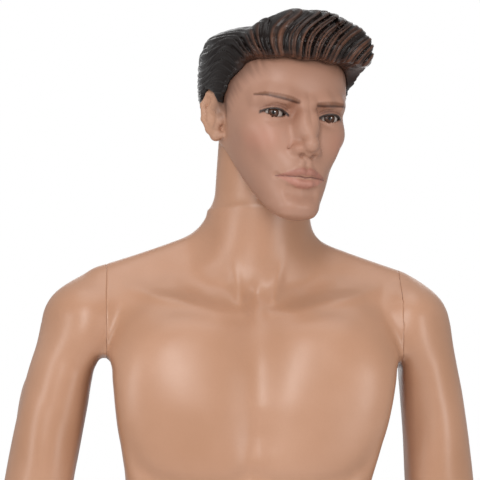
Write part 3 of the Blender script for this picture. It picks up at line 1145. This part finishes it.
def head_paint(p):
    q = head_to_local(p)
    x, y, z = q[:, 0], q[:, 1], q[:, 2]
    ax = np.abs(x)
    front = _sstep(-50.0, -66.0, y)
    col = np.tile(rgb(158, 117, 99), (len(p), 1))
    alpha = 0.74 * _sstep(20.0, -40.0, y)                      # the whole face is a shade pinker than the body
    # soft shading sprayed round the eyes, under the cheek bones and beside the nose
    ez = EYE[2]
    soc = np.exp(-(((ax - 31.5) / 17.0) ** 2 + ((z - ez - 5.5) / 7.0) ** 2)) * front
    col, alpha = over(col, alpha, rgb(112, 71, 52), 0.60 * soc)
    col, alpha = over(col, alpha, rgb(150, 98, 74), 0.30 * np.exp(-(((ax - 14) / 6.0) ** 2 + ((z - 10) / 14.0) ** 2)) * front)
    col, alpha = over(col, alpha, rgb(186, 116, 98), 0.24 * np.exp(-(((ax - 46) / 17.0) ** 2 + ((z + 24) / 15.0) ** 2)) * front)
    col, alpha = over(col, alpha, rgb(166, 108, 86), 0.25 * np.exp(-(((ax - 14) / 7.0) ** 2 + ((z + 29) / 7.0) ** 2)) * front)
    # lips
    zm = z + 2.6
    up = line2(ax, zm, [(27.5, -60.4), (17, -57.2), (8, -54.4), (4.2, -53.4), (0, -55.2)], [0.7, 2.9, 3.7, 3.8, 3.2])
    lo = line2(ax, zm, [(26.5, -61.4), (15, -64.6), (6, -67.0), (0, -67.6)], [0.7, 3.5, 4.8, 5.1])
    col, alpha = over(col, alpha, rgb(150, 96, 82), 0.80 * _sstep(0.9, -0.9, up) * front)
    col, alpha = over(col, alpha, rgb(168, 113, 98), 0.80 * _sstep(0.9, -0.9, lo) * front)
    mouth = line2(ax, zm, [(29, -60.7), (16, -60.2), (6.5, -59.4), (0, -60.6)], [0.3, 0.5, 0.6, 0.6])
    col, alpha = over(col, alpha, rgb(92, 46, 40), 0.88 * _sstep(0.7, -0.4, mouth) * front)
    # nostrils
    no = line2(ax, z, [(5.0, -39.6), (8.6, -38.4)], [1.0, 1.1])
    col, alpha = over(col, alpha, rgb(104, 64, 50), 0.14 * _sstep(1.2, -0.8, no) * (y < -94) * (z < -35))
    # brows, a brown stroke with a darker lower edge
    hair_wave = 0.5 * np.sin(ax * 2.1 + z * 0.9)
    zb = z + 0.04 * x
    br = line2(ax, zb, [(12, ez + 13.6), (20, ez + 14.8), (34, ez + 16.8), (47, ez + 17.9), (55, ez + 16.4)], [2.3, 3.1, 2.9, 2.1, 0.7]) + 0.35 * hair_wave
    col, alpha = over(col, alpha, rgb(112, 72, 50), 0.82 * _sstep(1.2, -0.9, br) * front)
    brl = line2(ax, zb, [(11.5, ez + 12.2), (20, ez + 13.1), (34, ez + 15.1), (47, ez + 16.6), (55, ez + 15.9)], [0.8, 1.1, 1.0, 0.7, 0.3])
    col, alpha = over(col, alpha, rgb(66, 36, 26), 0.80 * _sstep(0.9, -0.6, brl) * front)
    # lid lines and lashes
    _, ul, ll = _lens2(q)
    inr = _sstep(17.0, 15.0, np.abs(ax - 33.3)) * front * (y < -60)
    ulid = np.abs(ul - 0.9)
    col, alpha = over(col, alpha, rgb(30, 17, 13), 0.96 * _sstep(2.0, 1.0, ulid) * inr * (z > ez - 3.0))
    llid = np.abs(ll - 0.5)
    col, alpha = over(col, alpha, rgb(104, 62, 48), 0.50 * _sstep(1.0, 0.3, llid) * inr * (z < ez + 1.5) * (ul < 0.8))
    crease = np.abs(ul - 4.6)
    col, alpha = over(col, alpha, rgb(98, 58, 44), 0.62 * _sstep(1.3, 0.3, crease) * _sstep(17.0, 12.0, np.abs(ax - 33.5)) * front * (z > ez + 1))
    # painted strokes of hair at the temples, sideburns and nape
    h = f_hairline(q)
    s = np.sin((z * 0.72 - y * 0.62) * 1.9 + 2.2 * np.sin(y * 0.11 + z * 0.07)) * 0.5 + 0.5
    near = _sstep(-86.0, -64.0, y)
    behind = _sstep(-6.0, 2.0, y)
    reach = 13.0 + 14.0 * _sstep(62.0, 44.0, z)
    s2 = 0.5 + 0.5 * np.sin((z * 0.60 - y * 0.74) * 0.83 + 1.7 * np.sin(y * 0.19 - z * 0.05) + 0.9)
    fade = _sstep(reach, 0.0, h + 2.0 * s + 4.0 * s2) * (1 - behind)
    col, alpha = over(col, alpha, rgb(78, 50, 37), 0.90 * fade * (0.72 + 0.16 * s + 0.12 * s2) * near)
    burn = line2(y, z, [(-34, 46), (-27, 28), (-22, 14), (-19, 0)], [10.0, 7.5, 4.5, 1.5])
    col, alpha = over(col, alpha, rgb(88, 57, 43), 0.62 * _sstep(4.0, -2.0, burn + 2.5 * s) * (ax > 40))
    col, alpha = over(col, alpha, rgb(52, 32, 25), 0.55 * _sstep(3.5, -0.5, h) * (1 - near))
    return np.concatenate([col, alpha[:, None]], 1)


def hair_paint(p):
    q = head_to_local(p)
    w1, w2, w3, front = hair_waves(q)
    crest = np.clip(0.45 * w1 + 0.35 * w2 + 0.2 * w3, 0, 1)
    warm = _sstep(-50.0, -92.0, q[:, 1]) * _sstep(0.55, 0.95, crest)
    low = _sstep(118.0, 84.0, q[:, 2])
    base = rgb(24, 17, 15)
    col = base + (rgb(100, 66, 50) - base) * (warm * (0.35 + 0.65 * low))[:, None] * 0.9
    side = _sstep(8.0, 1.0, -f_hairline(q)) * _sstep(-40, -70, q[:, 1])
    col = col + (rgb(92, 56, 42) - col) * (0.35 * side)[:, None]
    return np.concatenate([col, np.ones((len(p), 1))], 1)


# ---- pieces ----
def bounds_mm(lo, hi):
    return np.array(lo, float), np.array(hi, float)


G2 = 0.06
cut_r = ((-SEAM_X + G2, 0, 0), (-1, 0, 0))
cut_l = ((SEAM_X - G2, 0, 0), (1, 0, 0))


def f_torso_piece(p):
    # closed flat a little past each seam, so the ends stay clear of the cuts
    return np.maximum(f_upper_all(p), np.maximum(np.abs(p[..., 0]) - 177.0, 1163.5 - p[..., 2]))


v, q = skin(f_torso_piece, (-186, -130, 1154), (186, 128, 1748), 5.2)
torso = make_piece("torso_skin", v, q, "stand", MAT_SKIN, ("torso_shell",), (cut_r, cut_l, ((0, 0, WAIST_Z + 0.25), (0, 0, -1))))

for side, nm in ((-1, "right"), (1, "left")):
    wr = WRIST_R if side < 0 else WRIST_L
    wax = WRIST_AX_R if side < 0 else WRIST_AX_L

    def f_arm_piece(p, side=side):
        near = p[..., 2] > 1380
        d = f_arm_full(p, side)
        if near.any():
            d = np.where(near, _smin(np.where(near, f_torso_full(p), 1e3), d, 11.0), d)
        return np.maximum(np.maximum(d, 926.0 - p[..., 2]), 153.0 - side * p[..., 0])

    x0, x1 = (-345, -140) if side < 0 else (140, 305)
    v, q = skin(f_arm_piece, (x0, -86, 918), (x1, 100, 1600), 4.2)
    make_piece(nm + "_arm_skin", v, q, nm + "_arm", MAT_SKIN, (nm + "_arm_shell",),
               (((side * (SEAM_X + G2), 0, 0), (-side, 0, 0)), (tuple(wr + wax * 0.3), tuple(-wax))))

    def f_hand_piece(p, side=side):
        return hand_full(hand_to_local(p, side))

    c = wr + np.array((0, -30 if side < 0 else -30, -90.0))
    v, q = skin(f_hand_piece, c - np.array((80, 95, 115)), c + np.array((80, 95, 125)), 2.4)
    make_piece(nm + "_hand_skin", v, q, nm + "_hand", MAT_SKIN, (nm + "_hand",), ((tuple(wr - wax * 0.3), tuple(wax)),))



def f_lower_piece(p):
    return np.maximum(f_lower_full(p), p[..., 2] - 1184.0)


v, q = skin(f_lower_piece, (-215, -215, 4), (215, 160, 1200), 5.4)


def split_lower(v, q):
    """The detachable left leg and the rest of the lower figure, as two closed parts."""
    out = []
    for part in ("hips", "leg"):
        me = to_mesh("tmp", v, q)
        bm = bmesh.new()
        bm.from_mesh(me)
        for f in bm.faces:
            f.smooth = True
        if part == "leg":
            slice_off(bm, (0, 0, THIGH_Z - 0.3), (0, 0, 1))
            seen, st = set(), [max(bm.verts, key=lambda w: w.co.x)]
            seen.add(st[0])
            while st:
                a = st.pop()
                for e in a.link_edges:
                    b = e.other_vert(a)
                    if b not in seen:
                        seen.add(b)
                        st.append(b)
            bmesh.ops.delete(bm, geom=[w for w in bm.verts if w not in seen], context="VERTS")
        out.append(bm)
        bpy.data.meshes.remove(me)
    return out


def finish_bm(bm, name, body, mat, replaces):
    keep_largest(bm)
    bmesh.ops.recalc_face_normals(bm, faces=bm.faces)
    me = bpy.data.meshes.new(name)
    bm.to_mesh(me)
    bm.free()
    me.set_sharp_from_angle(angle=math.radians(38))
    ob = bpy.data.objects.new(name, me)
    bpy.context.scene.collection.objects.link(ob)
    me.materials.append(mat)
    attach(ob, body)
    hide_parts(*replaces)
    return ob


def leg_side_cut(bm):
    """Cut the left leg off level at the thigh seam, leaving the right leg whole."""
    co, no = Vector((0, 0, (THIGH_Z + 0.3) / 1000.0)), Vector((0, 0, -1))
    mid = -0.017
    for off, clear in ((1.1, False), (0.0, False)):
        geom = [w for w in bm.verts if w.co.x > mid and 0.6 < w.co.z < 0.835]
        vs = set(geom)
        es = [e for e in bm.edges if e.verts[0] in vs and e.verts[1] in vs]
        fs = [f for f in bm.faces if all(w in vs for w in f.verts)]
        bmesh.ops.bisect_plane(bm, geom=geom + es + fs, dist=1e-7, plane_co=co - no * off / 1000.0, plane_no=no)
    kill = [w for w in bm.verts if w.co.x > mid and w.co.z < co.z - 1e-6]
    bmesh.ops.delete(bm, geom=kill, context="VERTS")
    rim = [e for e in bm.edges if e.is_boundary and abs(e.verts[0].co.z - co.z) < 1e-5 and abs(e.verts[1].co.z - co.z) < 1e-5 and e.verts[0].co.x > mid]
    bm.normal_update()
    for w in {w for e in rim for w in e.verts}:
        n = w.normal - no * w.normal.dot(no)
        if n.length > 1e-6:
            w.co -= n.normalized() * 0.00055
    r = bmesh.ops.triangle_fill(bm, use_beauty=True, use_dissolve=False, edges=rim, normal=no)
    for f in r["geom"]:
        if isinstance(f, bmesh.types.BMFace):
            f.smooth = False


bm_h, bm_l = split_lower(v, q)
leg_side_cut(bm_h)
slice_off(bm_h, (0, 0, WAIST_Z - 0.25), (0, 0, 1))
hips = finish_bm(bm_h, "hips_and_right_leg_skin", "stand", MAT_SKIN, ("hips_and_right_leg_shell",))
leg = finish_bm(bm_l, "left_leg_skin", "stand", MAT_SKIN, ("left_leg_shell",))


# head shell, cut for the neck
def f_head_piece(p):
    ql = head_to_local(p)
    d = f_head_full(ql)
    rem = np.maximum(-(0.76 * (ql[..., 1] - 8.0) - 0.65 * (ql[..., 2] + 31.0)), ql[..., 2] + 33.0)
    d = _smax(d, -rem, 1.2)
    w = p - NECK_A
    t = w @ NECK_AX
    r = _len(w - t[..., None] * NECK_AX)
    rec = np.maximum(r - (NECK_R + 1.2), t - (NECK_TOP + 1.0))
    return _smax(d, -rec, 0.8)


hc = HEAD_T
v, q = skin(f_head_piece, hc - np.array((118, 150, 116)), hc + np.array((118, 128, 122)), 2.1)
head = make_piece("head_skin", v, q, "head", MAT_FACE, ("head_shell",), (), head_paint, sharp=60.0)


def f_hair_piece(p):
    d = f_hair(head_to_local(p))
    w = p - NECK_A
    t = w @ NECK_AX
    r = _len(w - t[..., None] * NECK_AX)
    rec = np.maximum(r - (NECK_R + 1.6), t - (NECK_TOP + 9.0))
    d = np.maximum(d, -rec)
    return np.maximum(d, -(f_ear(head_to_local(p)) - 0.5))


v, q = skin(f_hair_piece, hc - np.array((118, 150, 60)), hc + np.array((130, 130, 140)), 2.0, relaxed=1)
hair = make_piece("hair_moulded", v, q, "head", MAT_HAIR, ("hair_cap",), (), hair_paint, sharp=75.0)

# eyeballs
for s, nm in ((-1, "right"), (1, "left")):
    bm = bmesh.new()
    bmesh.ops.create_icosphere(bm, subdivisions=6, radius=1.0)
    c = EYE * np.array((s, 1, 1))
    look = np.array((-0.27 if s < 0 else -0.12, -1.0, 0.02))
    look /= np.linalg.norm(look)
    lay = bm.verts.layers.float_color.new("paint")
    side_ax = np.cross(look, (0, 0, 1.0))
    side_ax /= np.linalg.norm(side_ax)
    up_ax = np.cross(side_ax, look)
    for w in bm.verts:
        n = np.array(w.co[:])
        u, vv, f = n @ side_ax, n @ up_ax, n @ look
        rad = np.hypot(u, vv) * EYE_R
        bulge = 0.55 * math.exp(-(rad / 5.2) ** 2) if f > 0 else 0.0
        pt = head_to_world(c + n * (EYE_R + bulge))
        w.co = Vector(pt / 1000.0)
        ang = math.atan2(vv, u)
        if f <= 0:
            colr = rgb(226, 214, 204)
        elif rad < 2.1:
            colr = rgb(8, 6, 6)
        elif rad < 6.0:
            k = 0.5 + 0.5 * math.sin(ang * 26.0 + 2.0 * math.sin(ang * 7.0))
            colr = rgb(52, 30, 20) * (1 - 0.5 * k) + rgb(104, 64, 40) * 0.5 * k
            if rad > 5.1:
                colr = colr * 0.35
        else:
            t = min(1.0, (rad - 6.0) / 0.5)
            colr = rgb(20, 13, 10) * (1 - t) + rgb(172, 160, 152) * t
        hl = math.hypot(u * EYE_R + 1.6, vv * EYE_R - 0.8)
        if f > 0 and hl < 0.6:
            colr = rgb(250, 250, 250)
        w[lay] = (*colr, 1.0)
    for fc in bm.faces:
        fc.smooth = True
    me = bpy.data.meshes.new(nm + "_eye")
    bm.to_mesh(me)
    bm.free()
    ob = bpy.data.objects.new(nm + "_eye", me)
    bpy.context.scene.collection.objects.link(ob)
    me.materials.append(MAT_EYE)
    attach(ob, "head")


# ---- floor, light and camera ----
sc = bpy.context.scene
sc.view_settings.view_transform = "Standard"
sc.view_settings.look = "None"
fl = bpy.data.meshes.new("floor")
fl.from_pydata([(-12, -12, 0), (12, -12, 0), (12, 12, 0), (-12, 12, 0)], [], [(0, 1, 2, 3)])
floor = bpy.data.objects.new("floor", fl)
sc.collection.objects.link(floor)
nf = Nodes("floor_pale")
nf.set(Base_Color=nf.ramp(nf.noise(2.5, 3.0), [(0.3, (0.86, 0.86, 0.86, 1)), (0.7, (0.89, 0.89, 0.89, 1))]), Roughness=0.6)
fl.materials.append(nf.m)

world = bpy.data.worlds.new("studio") if not sc.world else sc.world
sc.world = world
world.use_nodes = True
wt = world.node_tree
wt.nodes.clear()
out = wt.nodes.new("ShaderNodeOutputWorld")
lp = wt.nodes.new("ShaderNodeLightPath")
b1 = wt.nodes.new("ShaderNodeBackground")
b1.inputs[0].default_value = (1, 1, 1, 1)
b1.inputs[1].default_value = 0.42
b2 = wt.nodes.new("ShaderNodeBackground")
b2.inputs[0].default_value = (1, 1, 1, 1)
b2.inputs[1].default_value = 1.0
mx = wt.nodes.new("ShaderNodeMixShader")
wt.links.new(lp.outputs["Is Camera Ray"], mx.inputs[0])
wt.links.new(b1.outputs[0], mx.inputs[1])
wt.links.new(b2.outputs[0], mx.inputs[2])
wt.links.new(mx.outputs[0], out.inputs[0])


def area(name, pos, target, w, h, power):
    l = bpy.data.lights.new(name, "AREA")
    l.shape = "RECTANGLE"
    l.size, l.size_y, l.energy = w, h, power
    o = bpy.data.objects.new(name, l)
    sc.collection.objects.link(o)
    o.location = pos
    o.rotation_euler = (Vector(target) - Vector(pos)).to_track_quat("-Z", "Y").to_euler()
    return o


area("key", (-0.55, -2.9, 2.6), (0, 0, 1.4), 0.6, 2.1, 44)
area("fill_left", (-2.6, -1.9, 1.8), (0, 0, 1.3), 0.8, 2.0, 26)
area("fill_right", (2.0, -2.4, 1.5), (0, 0, 1.45), 0.7, 2.0, 27)
area("top", (0, -0.4, 4.2), (0, 0, 1.2), 2.2, 2.2, 26)
area("back", (0.3, 3.2, 2.4), (0, 0, 1.3), 2.4, 2.4, 24)

cam_d = bpy.data.cameras.new("camera")
cam = bpy.data.objects.new("camera", cam_d)
sc.collection.objects.link(cam)
a, e = math.radians(-3.0), math.radians(-2.0)
look = Vector((-math.sin(a) * math.cos(e), math.cos(a) * math.cos(e), -math.sin(e)))
tgt = Vector((-0.016, -0.02, 1.6135))
cam.location = tgt - look * 3.0
cam.rotation_euler = look.to_track_quat("-Z", "Y").to_euler()
cam_d.sensor_width = 36.0
cam_d.lens = 200.9
sc.camera = cam
